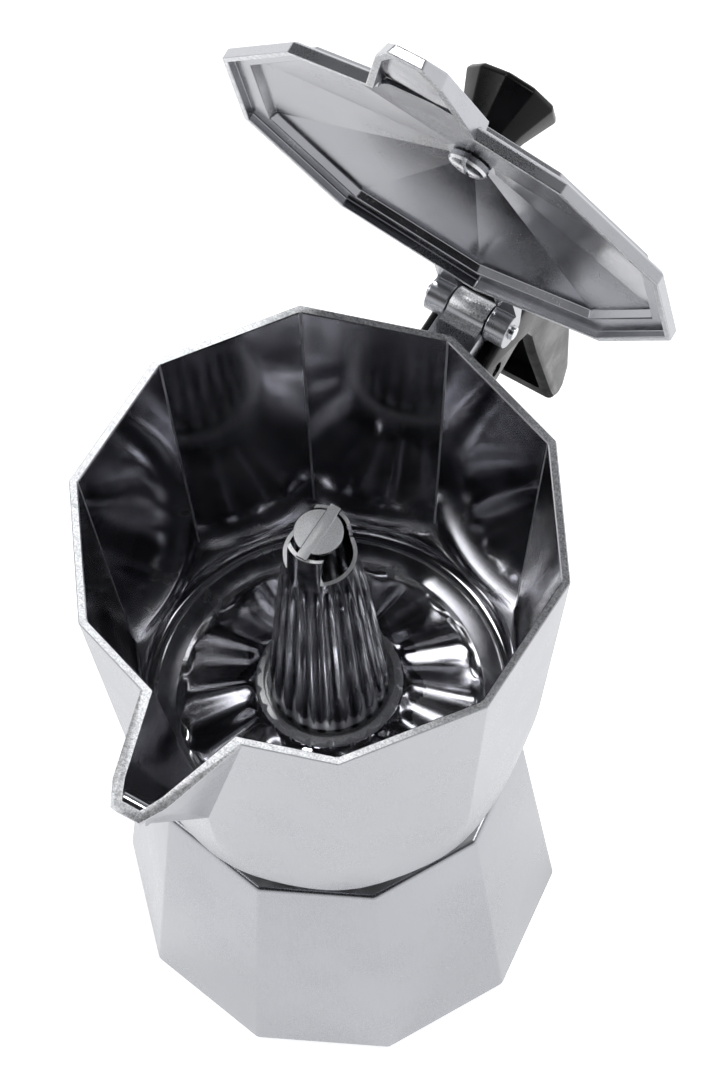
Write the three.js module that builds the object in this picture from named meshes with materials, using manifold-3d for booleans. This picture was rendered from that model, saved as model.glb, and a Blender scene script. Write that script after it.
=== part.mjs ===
// A stove-top moka pot: boiler, funnel, filter, collector with spout, lid, handle and safety valve.
// Millimetres, +Z up. The origin is the centre of the boiler's underside, the handle and the lid
// hinge point to +X and the spout to -X. The lid stands open at LID_OPEN degrees.

import * as THREE from 'three';
import { mergeVertices } from 'three/addons/utils/BufferGeometryUtils.js';
import { ConvexGeometry } from 'three/addons/geometries/ConvexGeometry.js';
import Module from 'manifold-3d';

const wasm = await Module();
wasm.setup();

// ---------- driving dimensions ----------

const SIDES = 10;                 // facets of the boiler, collector, lid and knob
const ROUND = 40;                 // facets of the large round surfaces
const GAP = 0.3;                  // clearance between neighbouring pieces

const BASE_R = 49.3;              // boiler, centre to bottom corner
const SHOULDER_R = 42.75;         // boiler, centre to top corner
const SHOULDER_Z = 69.8;
const BOILER_TURN = 8.25;         // azimuth of one boiler corner, degrees
const NECK_R = 34.8;
const NECK_Z = 82.3;              // top of the boiler's threaded neck
const MOUTH_R = 29.6;             // bore of the neck
const THREAD_PITCH = 2;
const THREAD_R = 35.8;            // crest of the boiler's thread
const SKIRT_THREAD_R = 36.3;      // crest of the collector's thread

const GASKET_R = [28.4, 36.0];
const GASKET_Z = [NECK_Z + GAP, 85.6];
const SEAT_Z = GASKET_Z[1] + GAP; // ledge in the collector that presses on the gasket
const PLATE_R = 30.4;
const PLATE_T = 0.8;

const RIM_R = 55;                 // collector, centre to rim corner
const RIM_Z = 170.5;
const SKIRT_R = 42.6;             // round lower edge of the collector
const SKIRT_Z = 77.7;
const WALL = 2;                   // collector wall, measured at a corner
const SLOPE = (RIM_R - SKIRT_R / Math.cos(Math.PI / SIDES)) / (RIM_Z - SKIRT_Z);

const CHANNEL_Z = 88.6;           // smooth ring channel round the collector's floor
const CHANNEL_R = [34.2, 38.6];
const PETALS = 12;                // radial waves pressed into the collector's floor
const PETAL_DEPTH = 0.6;
const HUB_R = 16.6;               // flat seat of the column
const HUB_Z = 95.6;

const COLUMN_BASE_R = 13.6;
const COLUMN_LIP_R = 8;
const COLUMN_LIP_Z = 160.3;       // sill of the two outlets
const COLUMN_TOP_Z = 169.2;
const COLUMN_WALL = 0.9;
const FLUTES = 22;
const STRIP_HALF = 4.2;           // half width of the two strips that carry the cap
const NOTCH_CIRCLE = 16.3;        // centres of the notches round the collar's edge
const NOTCH_R = 0.5;

const SPOUT_ROOT = [50.9, 12.6];  // where the spout leaves the rim: distance out, half width
const SPOUT_SHOULDER = [71.4, 6.7];
const SPOUT_TIP = [77.2, 3.6];
const SPOUT_WALL = 2;
const SPOUT_KEEL_Z = 116;         // lowest point of the spout, on the collector's corner

const HINGE_X = 63;
const HINGE_Z = 168.5;
const KNUCKLE_R = 4;
const KNUCKLE_HALF = 4.6;         // half width of the collector's knuckle
const EAR_Y = [4.9, 9.9];         // the lid's two ears, either side of the knuckle
const HINGE_PIN_R = 1.6;
const HINGE_BORE_R = 1.72;
const LID_OPEN = 80;
const LID_Z = RIM_Z + 0.4;        // the closed lid's lower edge
const LID_R = 55.2;
const LID_T = 1.5;

const HANDLE_HALF = 8.8;
const FORK_HALF = 5.8;            // half width of the slot that takes the collector's bracket
const HANDLE_PIN = { x: 58.5, z: 157.5, r: 1.5, bore: 1.8 };

const VALVE_AZIMUTH = BOILER_TURN + 54;   // middle of a boiler facet
const VALVE_Z = 44;
const VALVE_THREAD_R = 4.6;
const VALVE_BORE_R = 3.2;

// ---------- materials ----------

const metal = (color, roughness) => new THREE.MeshStandardMaterial({ color, roughness, metalness: 1 });
const aluminium = metal(0xc9ccd0, 0.35);
const polished = metal(0xd4d6d9, 0.18);
const steel = metal(0xb9bbbf, 0.25);
const brass = metal(0xb8924a, 0.3);
const bakelite = new THREE.MeshStandardMaterial({ color: 0x0c0c0e, roughness: 0.3, metalness: 0 });
const rubber = new THREE.MeshStandardMaterial({ color: 0xe6e2d6, roughness: 0.7, metalness: 0 });

// ---------- solids ----------

const rad = THREE.MathUtils.degToRad;

// A closed solid from a geometry, its faces turned outward.
function solid(geometry) {
  const bare = geometry.clone();
  bare.deleteAttribute('normal');
  bare.deleteAttribute('uv');
  const merged = mergeVertices(bare, 1e-4);
  const points = merged.attributes.position;
  const corner = (i) => new THREE.Vector3().fromBufferAttribute(points, i);
  const triangles = [];
  let volume = 0;
  for (let i = 0; i < merged.index.count; i += 3) {
    const [a, b, c] = [0, 1, 2].map((k) => merged.index.getX(i + k));
    if (a === b || b === c || c === a) continue;
    triangles.push([a, b, c]);
    volume += corner(a).dot(corner(b).cross(corner(c)));
  }
  const outward = volume > 0 ? triangles : triangles.map(([a, b, c]) => [a, c, b]);
  return new wasm.Manifold(new wasm.Mesh({
    numProp: 3,
    vertProperties: new Float32Array(points.array),
    triVerts: new Uint32Array(outward.flat()),
  }));
}

// A profile of [radius, z] points turned about Z, with one corner at the azimuth `turn`.
function latheGeometry(profile, segments, turn = 0) {
  const points = profile.map(([r, z]) => new THREE.Vector2(r, z));
  return new THREE.LatheGeometry(points, segments, rad(90 + turn)).rotateX(Math.PI / 2);
}

const turned = (profile, segments = ROUND, turn = 0) => solid(latheGeometry(profile, segments, turn));

// A profile that goes round a hollow: it closes on itself.
const ring = (profile, segments = ROUND) => turned([...profile, profile[0]], segments);

// A round bar from one point to another.
function rod(radius, from, to, segments = 20) {
  const a = new THREE.Vector3(...from);
  const b = new THREE.Vector3(...to);
  const along = b.clone().sub(a);
  const bar = new THREE.CylinderGeometry(radius, radius, along.length(), segments);
  bar.applyQuaternion(new THREE.Quaternion().setFromUnitVectors(
    new THREE.Vector3(0, 1, 0), along.clone().normalize()));
  bar.translate(...a.add(b).multiplyScalar(0.5).toArray());
  return solid(bar);
}

function box(low, high) {
  const size = high.map((v, i) => v - low[i]);
  const centre = high.map((v, i) => (v + low[i]) / 2);
  return solid(new THREE.BoxGeometry(...size).translate(...centre));
}

const hull = (points) => solid(new ConvexGeometry(points.map((p) => new THREE.Vector3(...p))));

// Both mirror images of each [x, y, z] about the XZ plane.
const mirrored = (points) => points.flatMap(([x, y, z]) => [[x, y, z], [x, -y, z]]);

// A side profile of [x, z] points as a plate from y = low to y = high.
function plate(profile, low, high, bevel = 0) {
  const shape = new THREE.Shape(profile.map(([x, z]) => new THREE.Vector2(x, z)));
  const slab = new THREE.ExtrudeGeometry(shape, {
    depth: high - low - 2 * bevel,
    bevelEnabled: bevel > 0,
    bevelSize: bevel,
    bevelThickness: bevel,
    bevelOffset: -bevel,
    bevelSegments: 1,
  });
  return solid(slab.rotateX(Math.PI / 2).translate(0, high - bevel, 0));
}

function mesh(name, body, material) {
  const cut = body.getMesh();
  const geometry = new THREE.BufferGeometry();
  geometry.setAttribute('position', new THREE.BufferAttribute(cut.vertProperties, 3));
  geometry.setIndex(new THREE.BufferAttribute(cut.triVerts, 1));
  geometry.computeVertexNormals();
  const piece = new THREE.Mesh(geometry, material);
  piece.name = name;
  return piece;
}

const joined = (...bodies) => bodies.reduce((all, one) => all.add(one));

// Round holes at the centre and on circles of 6, 12, 18 ... through a disc.
function perforated(disc, rings, spacing, holeRadius, low, high) {
  const centres = [[0, 0]];
  for (let k = 1; k <= rings; k += 1) {
    for (let i = 0; i < 6 * k; i += 1) {
      const a = (i / (6 * k)) * 2 * Math.PI;
      centres.push([k * spacing * Math.cos(a), k * spacing * Math.sin(a)]);
    }
  }
  const holes = centres.map(([x, y]) => rod(holeRadius, [x, y, low], [x, y, high], 6));
  return disc.subtract(joined(...holes));
}

// Raised ridges of a screw thread, drawn as rings: `root` and `crest` are radii.
const threadRings = (root, crest, heights) => joined(...heights.map((z) => ring([
  [root, z - 0.7], [crest, z - 0.25], [crest, z + 0.25], [root, z + 0.7],
])));

// ---------- boiler ----------

const facetRadius = (z) => Math.cos(Math.PI / SIDES)
  * (BASE_R - ((BASE_R - SHOULDER_R) * (z - 1.2)) / (SHOULDER_Z - 1.2));

// The valve's own frame: origin on the boiler's facet, +Z along the valve, pointing out.
const valveTilt = Math.atan2(facetRadius(0) - facetRadius(SHOULDER_Z), SHOULDER_Z);
const valveFrame = new THREE.Matrix4()
  .makeRotationZ(rad(VALVE_AZIMUTH))
  .multiply(new THREE.Matrix4().makeTranslation(facetRadius(VALVE_Z), 0, VALVE_Z))
  .multiply(new THREE.Matrix4().makeRotationY(Math.PI / 2 - valveTilt));

const inValveFrame = (body) => body.transform(valveFrame.toArray());

function boiler() {
  const walls = turned([
    [0, 0], [BASE_R - 1, 0], [BASE_R, 1.2], [SHOULDER_R, SHOULDER_Z], [SHOULDER_R - 0.9, SHOULDER_Z + 1],
    [0, SHOULDER_Z + 1],
  ], SIDES, BOILER_TURN);
  const neck = turned([[0, 60], [NECK_R, 60], [NECK_R, NECK_Z - 0.6], [NECK_R - 0.6, NECK_Z], [0, NECK_Z]]);
  const heights = [0, 1, 2, 3].map((k) => SHOULDER_Z + 3.9 + k * THREAD_PITCH);
  const thread = threadRings(NECK_R - 0.3, THREAD_R, heights);
  const hollow = turned([
    [0, 3.2], [42.5, 3.2], [44.2, 5], [38, 64.5], [36.5, 67.5], [MOUTH_R + 0.6, 72.5], [MOUTH_R, 74],
    [MOUTH_R, 81.1], [33.2, 81.1], [33.2, NECK_Z + 2], [0, NECK_Z + 2],
  ]);
  const boss = inValveFrame(rod(8.2, [0, 0, -2], [0, 0, 1], 24));
  const valveHole = inValveFrame(rod(VALVE_THREAD_R + 0.4, [0, 0, -9], [0, 0, 4], 20));
  return joined(walls, neck, thread, boss).subtract(hollow).subtract(valveHole);
}

// ---------- safety valve, drawn along its own axis ----------

function valveBody() {
  const hex = rod(8, [0, 0, 1.3], [0, 0, 5.8], 6);
  const turret = rod(VALVE_THREAD_R, [0, 0, 5], [0, 0, 8.3]);
  const shank = rod(VALVE_THREAD_R, [0, 0, -5.5], [0, 0, 2]);
  const chamber = rod(VALVE_BORE_R, [0, 0, -3], [0, 0, 9]);
  const orifice = rod(1.4, [0, 0, -6], [0, 0, -2], 12);
  return inValveFrame(joined(hex, turret, shank).subtract(chamber).subtract(orifice));
}

const valvePoppet = () => inValveFrame(joined(
  rod(2.8, [0, 0, -2.7], [0, 0, -1.3]),
  rod(1, [0, 0, -1.5], [0, 0, 9.3], 12),
));

const valveRetainer = () => inValveFrame(ring([[1.4, 7], [2.9, 7], [2.9, 8], [1.4, 8]], 20));

function valveSpring() {
  const [low, high, radius, turns] = [0.4, 6.4, 2.05, 4];
  class Helix extends THREE.Curve {
    getPoint(t, target = new THREE.Vector3()) {
      const a = t * turns * 2 * Math.PI;
      return target.set(radius * Math.cos(a), radius * Math.sin(a), low + t * (high - low));
    }
  }
  const wire = new THREE.Shape().absarc(0, 0, 0.3, 0, 2 * Math.PI, false);
  const coil = new THREE.ExtrudeGeometry(wire, {
    steps: turns * 12, extrudePath: new Helix(), curveSegments: 3,
  });
  return inValveFrame(solid(coil));
}

// ---------- funnel, filter and gasket ----------

const CUP_R = 29.2;
const CUP_WALL = 0.8;
const SIEVE_Z = 53.8;
const STEM_R = 5.8;

const funnelCup = () => ring([
  [CUP_R + 3.6, NECK_Z - 0.9], [CUP_R + 3.6, NECK_Z], [CUP_R - CUP_WALL, NECK_Z],
  [CUP_R - CUP_WALL, SIEVE_Z - 0.3], [CUP_R - 2, SIEVE_Z - 0.8], [7.4, 44.6], [STEM_R + 0.4, 43.4],
  [STEM_R + 0.4, 37], [STEM_R + 1.2, 37], [STEM_R + 1.2, 42.5], [8, 43.5], [CUP_R - 1, SIEVE_Z - 1.3],
  [CUP_R, SIEVE_Z + 0.2], [CUP_R, NECK_Z - 0.9],
]);

const funnelTube = () => ring([[STEM_R - 0.8, 6.5], [STEM_R, 6.5], [STEM_R, 42.2], [STEM_R - 0.8, 42.2]], 24);

function funnelSieve() {
  const disc = rod(CUP_R - 1.2, [0, 0, SIEVE_Z], [0, 0, SIEVE_Z + PLATE_T], 36);
  return perforated(disc, 2, 9.5, 1.7, SIEVE_Z - 1, SIEVE_Z + 2);
}

const gasket = () => ring([
  [GASKET_R[0], GASKET_Z[0]], [GASKET_R[1], GASKET_Z[0]], [GASKET_R[1], GASKET_Z[1]],
  [GASKET_R[0], GASKET_Z[1]],
]);

function filterPlate() {
  const disc = rod(PLATE_R, [0, 0, SEAT_Z], [0, 0, SEAT_Z + PLATE_T], 36);
  return perforated(disc, 2, 10.5, 1.7, SEAT_Z - 1, SEAT_Z + 2);
}

// ---------- collector ----------

const outerCorner = (z) => RIM_R - SLOPE * (RIM_Z - z);

// Radial waves on the floor between the hub and the channel.
function pressPetals(geometry) {
  const [inner, outer] = [HUB_R, CHANNEL_R[0] - 1];
  const points = geometry.attributes.position;
  for (let i = 0; i < points.count; i += 1) {
    const [x, y, z] = [points.getX(i), points.getY(i), points.getZ(i)];
    const r = Math.hypot(x, y);
    if (r <= inner || r >= outer || z > HUB_Z) continue;
    const fade = Math.sin((Math.PI * (r - inner)) / (outer - inner));
    points.setZ(i, z + PETAL_DEPTH * fade * Math.cos(PETALS * Math.atan2(y, x)));
  }
  return geometry;
}

// The bowl that rounds the walls into the floor: a quarter ellipse from the channel upward.
function bowlProfile() {
  const [radius, rise, steps] = [7.3, 22, 6];
  const floor = [0, 1, 2, 3, 4].map((k) => {
    const t = k / 4;
    return [HUB_R + t * (CHANNEL_R[0] - 0.8 - HUB_R), HUB_Z + t * (CHANNEL_Z - 0.7 - HUB_Z)];
  });
  const curve = Array.from({ length: steps + 1 }, (_, k) => {
    const a = (k / steps) * (Math.PI / 2);
    return [CHANNEL_R[1] + 0.7 + radius * Math.sin(a), CHANNEL_Z + 0.4 + rise * (1 - Math.cos(a))];
  });
  return [
    [0, HUB_Z], ...floor, [CHANNEL_R[0], CHANNEL_Z], [CHANNEL_R[1], CHANNEL_Z], ...curve,
    [RIM_R + 5, 112], [RIM_R + 5, RIM_Z + 4], [0, RIM_Z + 4],
  ];
}

function spoutOuter() {
  const [root, shoulder, tip] = [SPOUT_ROOT, SPOUT_SHOULDER, SPOUT_TIP];
  return hull(mirrored([
    [-root[0], root[1], RIM_Z], [-shoulder[0], shoulder[1], RIM_Z], [-tip[0], tip[1], RIM_Z],
    [-tip[0] + 1, tip[1] - 0.8, RIM_Z - 3.5], [-44, 10, RIM_Z], [-44, 1, SPOUT_KEEL_Z],
    [-outerCorner(SPOUT_KEEL_Z), 0.1, SPOUT_KEEL_Z],
  ]));
}

function spoutChannel() {
  const [shoulder, tip] = [SPOUT_SHOULDER, SPOUT_TIP];
  const top = RIM_Z + 2;
  return hull(mirrored([
    [-44, SPOUT_ROOT[1] - 0.1, top], [-shoulder[0] + 0.7, shoulder[1] - SPOUT_WALL, top],
    [-tip[0] + SPOUT_WALL, tip[1] - 1.3, top], [-tip[0] + 3, tip[1] - 1.5, RIM_Z - 1.7],
    [-tip[0] + 7, 2.4, RIM_Z - 7], [-44, 1, SPOUT_KEEL_Z + 1], [-44, 7, RIM_Z - 20],
  ]));
}

// The bridge over the rim with the hinge knuckle, and below it the bracket inside the handle's fork.
function hingeLug() {
  const bracket = plate([
    [49.5, 152], [62, 152.8], [63.5, 154.5], [63.5, 163], [59.3, 165], [58.4, RIM_Z], [49.5, RIM_Z],
  ], -FORK_HALF + 0.4, FORK_HALF - 0.4);
  const web = plate([
    [57, 163], [HINGE_X, 163], [HINGE_X + 1, HINGE_Z], [HINGE_X - 2, RIM_Z], [57, RIM_Z],
  ], -KNUCKLE_HALF, KNUCKLE_HALF);
  const knuckle = rod(KNUCKLE_R, [HINGE_X, -KNUCKLE_HALF, HINGE_Z], [HINGE_X, KNUCKLE_HALF, HINGE_Z], 24);
  return joined(bracket, web, knuckle);
}

const alongY = (radius, half, x, z, segments = 20) => rod(radius, [x, -half, z], [x, half, z], segments);

function collector() {
  const pyramid = turned([[0, SKIRT_Z], [outerCorner(SKIRT_Z), SKIRT_Z], [RIM_R, RIM_Z], [0, RIM_Z]], SIDES);
  const roundLimit = turned([
    [0, SKIRT_Z], [SKIRT_R - 0.6, SKIRT_Z], [SKIRT_R, SKIRT_Z + 0.6], [47.3, 98], [52, 118], [60, 130],
    [60, RIM_Z + 1], [0, RIM_Z + 1],
  ]);
  const innerPyramid = turned([
    [0, 85], [outerCorner(85) - WALL, 85], [outerCorner(RIM_Z + 3) - WALL, RIM_Z + 3], [0, RIM_Z + 3],
  ], SIDES);
  const bowl = solid(pressPetals(latheGeometry(bowlProfile(), 72)));
  const underside = turned([
    [0, SKIRT_Z - 1], [37, SKIRT_Z - 1], [37, SEAT_Z], [PLATE_R + 0.5, SEAT_Z], [PLATE_R + 0.5, SEAT_Z + 1.1],
    [28.5, SEAT_Z + 1.1], [12, 92.8], [9, 93.2], [9, 100], [0, 100],
  ]);
  const thread = threadRings(37.3, SKIRT_THREAD_R, [SKIRT_Z + 1.5, SKIRT_Z + 1.5 + THREAD_PITCH]);
  const pinHole = alongY(HANDLE_PIN.bore, 12, HANDLE_PIN.x, HANDLE_PIN.z);
  const hingeHole = alongY(HINGE_BORE_R, 12, HINGE_X, HINGE_Z);
  return joined(pyramid.intersect(roundLimit), spoutOuter(), hingeLug())
    .subtract(innerPyramid.intersect(bowl))
    .subtract(spoutChannel())
    .subtract(underside)
    .add(thread)
    .subtract(pinHole)
    .subtract(hingeHole);
}

// ---------- column ----------

// Presses upright flutes into a turned wall; they fade out below the base flange.
function pressFlutes(geometry) {
  const points = geometry.attributes.position;
  for (let i = 0; i < points.count; i += 1) {
    const [x, y, z] = [points.getX(i), points.getY(i), points.getZ(i)];
    if (z < HUB_Z + 2.2) continue;
    const scale = 1 + (0.3 * Math.cos(FLUTES * Math.atan2(y, x))) / Math.hypot(x, y);
    points.setXY(i, x * scale, y * scale);
  }
  return geometry;
}

function column() {
  const base = HUB_Z + GAP;
  const radius = (z) => THREE.MathUtils.mapLinear(z, base, COLUMN_LIP_Z, COLUMN_BASE_R, COLUMN_LIP_R);
  const profile = [
    [radius(base) - COLUMN_WALL, base], [15, base], [15, base + 0.8], [radius(base + 1), base + 0.8],
    [radius(base + 2.4), base + 2.4], [radius(COLUMN_TOP_Z), COLUMN_TOP_Z],
    [radius(COLUMN_TOP_Z) - COLUMN_WALL, COLUMN_TOP_Z], [radius(base + 2.4) - COLUMN_WALL, base + 2.4],
  ];
  const tube = solid(pressFlutes(latheGeometry([...profile, profile[0]], 4 * FLUTES)));
  const outletLeft = box([-20, -20, COLUMN_LIP_Z], [20, -STRIP_HALF, RIM_Z]);
  const outletRight = box([-20, STRIP_HALF, COLUMN_LIP_Z], [20, 20, RIM_Z]);
  return tube.subtract(outletLeft).subtract(outletRight);
}

// The staked ring that grips the column's flange, with notches round its edge.
function columnCollar() {
  const low = HUB_Z + GAP;
  const band = ring([
    [15.3, low], [16.4, low], [16, low + 2.3], [14.4, low + 2.3], [14.4, low + 1.1], [15.3, low + 1.1],
  ], 2 * FLUTES);
  const notches = Array.from({ length: FLUTES }, (_, i) => {
    const a = (i / FLUTES) * 2 * Math.PI;
    const [x, y] = [NOTCH_CIRCLE * Math.cos(a), NOTCH_CIRCLE * Math.sin(a)];
    return rod(NOTCH_R, [x, y, low + 1], [x, y, low + 4], 6);
  });
  return band.subtract(joined(...notches));
}

function columnCap() {
  const [low, high] = [COLUMN_TOP_Z + GAP, COLUMN_TOP_Z + GAP + 0.8];
  return joined(rod(5.4, [0, 0, low], [0, 0, high], 24), box([-8.1, -2.7, low], [8.1, 2.7, high]));
}

// ---------- lid, drawn closed and then opened about the hinge ----------

function lidBeak() {
  const [root, shoulder, tip] = [SPOUT_ROOT, SPOUT_SHOULDER, SPOUT_TIP];
  const outer = hull(mirrored([
    [-47, root[1] + 1.2, LID_Z], [-47, root[1], LID_Z + 6],
    [-shoulder[0] - 0.4, shoulder[1] + 1.2, LID_Z], [-shoulder[0], shoulder[1] + 0.4, LID_Z + 4],
    [-tip[0] - 1.2, tip[1] + 0.6, LID_Z], [-tip[0] - 0.6, tip[1], LID_Z + 2.6],
  ]));
  const inner = hull(mirrored([
    [-45, root[1], LID_Z - 1], [-shoulder[0] + 0.2, shoulder[1] - 0.2, LID_Z - 1],
    [-tip[0] + 0.1, tip[1] - 0.7, LID_Z - 1], [-45, root[1] - 1.2, LID_Z + 4.6],
    [-shoulder[0] + 0.6, shoulder[1] - 0.9, LID_Z + 2.6], [-tip[0] + 0.7, tip[1] - 1.2, LID_Z + 1.3],
  ]));
  return { outer, inner };
}

function lidEar(side) {
  const [low, high] = side > 0 ? EAR_Y : [-EAR_Y[1], -EAR_Y[0]];
  const barrel = rod(KNUCKLE_R, [HINGE_X, low, HINGE_Z], [HINGE_X, high, HINGE_Z], 24);
  const arm = plate([
    [50.5, LID_Z + 0.3], [59.8, LID_Z + 0.3], [HINGE_X - 2.8, HINGE_Z], [HINGE_X + 2.8, HINGE_Z + 2.8],
    [HINGE_X, HINGE_Z + KNUCKLE_R], [57, LID_Z + 4], [50.5, LID_Z + 4],
  ], low, high);
  return barrel.add(arm);
}

function closedLid() {
  const edge = LID_R - 1.5;
  const shell = turned([
    [0, LID_Z + 10.2], [6, LID_Z + 10.2], [48.4, LID_Z + 3.9], [49.4, LID_Z + 2], [edge, LID_Z + 1.8],
    [edge, LID_Z], [LID_R, LID_Z], [LID_R, LID_Z + 2.6], [LID_R - 1, LID_Z + 3.3], [50.4, LID_Z + 3.6],
    [49.4, LID_Z + 5.4], [6, LID_Z + 10.2 + LID_T], [0, LID_Z + 10.2 + LID_T],
  ], SIDES);
  const dome = turned([
    [0, LID_Z - 2], [edge, LID_Z - 2], [edge, LID_Z + 1.8], [49.4, LID_Z + 2], [48.4, LID_Z + 3.9],
    [6, LID_Z + 10.2], [0, LID_Z + 10.2],
  ], SIDES);
  const beak = lidBeak();
  const screwHole = rod(2.4, [0, 0, LID_Z], [0, 0, LID_Z + 20]);
  const hingeHole = alongY(HINGE_BORE_R, 12, HINGE_X, HINGE_Z);
  return joined(shell, beak.outer.subtract(dome), lidEar(1), lidEar(-1))
    .subtract(beak.inner)
    .subtract(screwHole)
    .subtract(hingeHole);
}

const KNOB_Z = LID_Z + 10.2 + LID_T + GAP;

function knob() {
  const grip = turned([
    [0, KNOB_Z], [6.6, KNOB_Z], [6.4, KNOB_Z + 3], [7.6, KNOB_Z + 7], [11, KNOB_Z + 14.6],
    [10.4, KNOB_Z + 15.8], [7, KNOB_Z + 16.8], [0, KNOB_Z + 17.2],
  ], SIDES);
  return grip.subtract(rod(2.3, [0, 0, KNOB_Z - 1], [0, 0, KNOB_Z + 11]));
}

function knobScrew() {
  const head = LID_Z + 10.2 - GAP;
  return joined(
    turned([[0, head - 2.2], [3.6, head - 2.2], [4.6, head - 1.4], [4.6, head], [0, head]], 24),
    rod(2, [0, 0, head - 1], [0, 0, KNOB_Z + 10.4]),
  ).subtract(box([-6, -0.5, head - 3], [6, 0.5, head - 1.2]));
}

const hingePin = () => alongY(HINGE_PIN_R, EAR_Y[1] + 1, HINGE_X, HINGE_Z);

// A group that turns its closed pieces about the hinge pin, to the open lid.
function openedLid(...pieces) {
  const swing = new THREE.Group();
  swing.position.set(HINGE_X, 0, HINGE_Z);
  swing.rotation.y = rad(LID_OPEN);
  const closed = new THREE.Group();
  closed.position.set(-HINGE_X, 0, -HINGE_Z);
  closed.add(...pieces);
  swing.add(closed);
  return swing;
}

// ---------- handle ----------

function handle() {
  const arm = plate([
    [53, 164.6], [84, 166.4], [87.6, 165.2], [89.6, 161.5], [90.2, 126], [89.4, 110], [87, 104.6],
    [84.2, 103.2], [81.4, 105.4], [79.8, 111.5], [74.3, 138], [72.6, 148], [70.8, 152.2], [67.5, 154],
    [60, 152], [53, 150.3],
  ], -HANDLE_HALF, HANDLE_HALF, 1);
  const fork = box([49, -FORK_HALF, 140], [66.5, FORK_HALF, 172]);
  const wall = turned([
    [0, 140], [outerCorner(140) + 0.5, 140], [outerCorner(172) + 0.5, 172], [0, 172],
  ], SIDES);
  const earRoom = alongY(KNUCKLE_R + 0.6, 14, HINGE_X, HINGE_Z, 24);
  const pinHole = alongY(HANDLE_PIN.bore, 14, HANDLE_PIN.x, HANDLE_PIN.z);
  return arm.subtract(fork).subtract(wall).subtract(earRoom).subtract(pinHole);
}

const handlePin = () => alongY(HANDLE_PIN.r, HANDLE_HALF - 0.6, HANDLE_PIN.x, HANDLE_PIN.z);

// ---------- the whole pot ----------

const pot = new THREE.Group();
pot.add(
  mesh('boiler', boiler(), aluminium),
  mesh('valve_body', valveBody(), brass),
  mesh('valve_poppet', valvePoppet(), brass),
  mesh('valve_spring', valveSpring(), steel),
  mesh('valve_retainer', valveRetainer(), brass),
  mesh('funnel_cup', funnelCup(), aluminium),
  mesh('funnel_tube', funnelTube(), aluminium),
  mesh('funnel_sieve', funnelSieve(), aluminium),
  mesh('gasket', gasket(), rubber),
  mesh('filter_plate', filterPlate(), aluminium),
  mesh('collector', collector(), aluminium),
  mesh('column', column(), polished),
  mesh('column_collar', columnCollar(), polished),
  mesh('column_cap', columnCap(), polished),
  mesh('hinge_pin', hingePin(), steel),
  mesh('handle', handle(), bakelite),
  mesh('handle_pin', handlePin(), steel),
  openedLid(
    mesh('lid', closedLid(), aluminium),
    mesh('knob', knob(), bakelite),
    mesh('knob_screw', knobScrew(), steel),
  ),
);

export default pot;
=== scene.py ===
"""A stove-top moka pot with its lid swung open, seen from above and from the spout's side."""

import math

import bpy
from mathutils import Matrix, Vector


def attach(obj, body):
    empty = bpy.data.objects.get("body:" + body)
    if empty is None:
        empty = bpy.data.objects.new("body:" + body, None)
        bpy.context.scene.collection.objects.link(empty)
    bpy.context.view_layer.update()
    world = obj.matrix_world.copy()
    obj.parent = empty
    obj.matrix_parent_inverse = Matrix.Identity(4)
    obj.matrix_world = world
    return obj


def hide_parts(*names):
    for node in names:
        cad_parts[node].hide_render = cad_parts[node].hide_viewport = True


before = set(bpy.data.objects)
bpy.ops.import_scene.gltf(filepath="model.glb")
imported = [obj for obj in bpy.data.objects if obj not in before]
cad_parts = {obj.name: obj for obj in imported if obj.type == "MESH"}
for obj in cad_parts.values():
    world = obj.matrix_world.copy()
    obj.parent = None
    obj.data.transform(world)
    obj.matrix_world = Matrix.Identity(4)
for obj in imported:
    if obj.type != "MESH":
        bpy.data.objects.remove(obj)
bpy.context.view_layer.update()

# ---------- sizes, in millimetres and degrees ----------

MM = 0.001
SIDES = 10                      # facets of the boiler, collector, lid and knob
FACET = 360 / SIDES
HALF_FACET = FACET / 2

RIM_R, RIM_Z = 55.0, 170.5      # collector, centre to rim corner
SKIRT_R, SKIRT_Z = 42.6, 77.7   # its round foot
WALL = 2.0
SLOPE = (RIM_R - SKIRT_R / math.cos(math.radians(HALF_FACET))) / (RIM_Z - SKIRT_Z)
FOOT_SLOPE = 0.2368             # the turned cone that rounds the facets into the foot
CORNER_ROUND = 0.9
RIM_EDGE = 0.25
SEAT_Z = 85.9
PLATE_R = 30.4

CHANNEL_Z, CHANNEL_IN, CHANNEL_OUT = 88.6, 34.2, 38.6
BOWL_R, BOWL_RISE = 7.1, 22.0
BOWL_CHAMFER = 0.2
HUB_R, HUB_Z = 16.6, 95.6
PETALS, PETAL_DEPTH = 12, 0.85
CORNER_STRIPE = 0.3             # half width in degrees of the painted highlight line in each inside corner

COLUMN_BASE_R, COLUMN_LIP_R = 13.6, 8.0
COLUMN_LIP_Z, COLUMN_TOP_Z = 160.3, 169.2
COLUMN_WALL = 0.9
FLANGE_R = 15.0
FLUTES = 22
FLUTE_DEPTH = 0.34
STRIP_HALF = 4.2

SPOUT_ROOT, SPOUT_SHOULDER, SPOUT_TIP = (50.9, 12.6), (71.4, 6.7), (77.2, 3.6)
SPOUT_KEEL_Z = 116.0
SPOUT_LIP_R, SPOUT_LIP_X, SPOUT_LIP_Z = 2.3, 73.4, RIM_Z - 3.3   # the rolled lip inside the tip

HINGE_X, HINGE_Z = 63.0, 168.5
HINGE_HOLE_R, PIN_HOLE_R = 1.72, 1.8
KNUCKLE_R, KNUCKLE_HALF = 4.0, 4.6
EAR_IN, EAR_OUT = 4.9, 9.9
LID_OPEN = 80
LID_Z, LID_R, LID_T = RIM_Z + 0.4, 55.2, 1.5

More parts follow.
